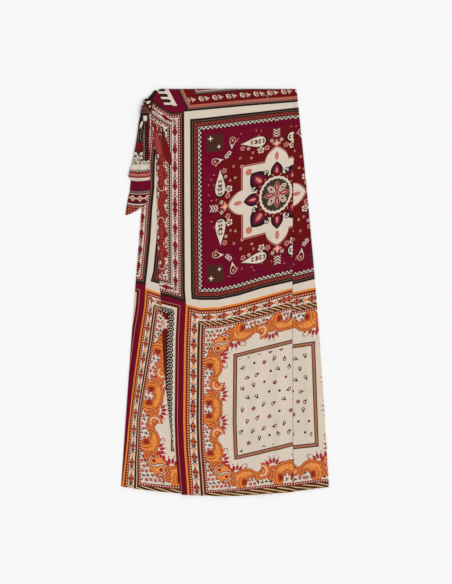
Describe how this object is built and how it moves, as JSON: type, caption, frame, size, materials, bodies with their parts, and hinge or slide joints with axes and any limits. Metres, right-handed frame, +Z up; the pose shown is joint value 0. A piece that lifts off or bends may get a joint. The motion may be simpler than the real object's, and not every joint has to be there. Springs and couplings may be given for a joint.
{
  "type": "wrap skirt, laid flat",
  "caption": "Long wrap skirt of light printed cloth, laid flat with its front up: over front lapped on the under front, waist tie knotted at the left hip.",
  "frame": {"origin": "middle of the flat underside, on the surface that the skirt lies on", "axes": "+Z up out of the front, +Y towards the waist, +X towards the wearer's left side, which is the right of the front as seen from above"},
  "size_m": [0.4992, 0.9769, 0.0124],
  "materials": {
    "printed_cloth": "light plain-woven viscose, soft sheen, printed with a patchwork of bandana squares"
  },
  "bodies": {
    "root": {"back_panel": "printed_cloth", "under_front_panel": "printed_cloth", "over_front_panel": "printed_cloth", "tie_band": "printed_cloth", "tie_knot": "printed_cloth", "tie_end_long": "printed_cloth", "tie_end_short": "printed_cloth"}
  },
  "joints": []
}
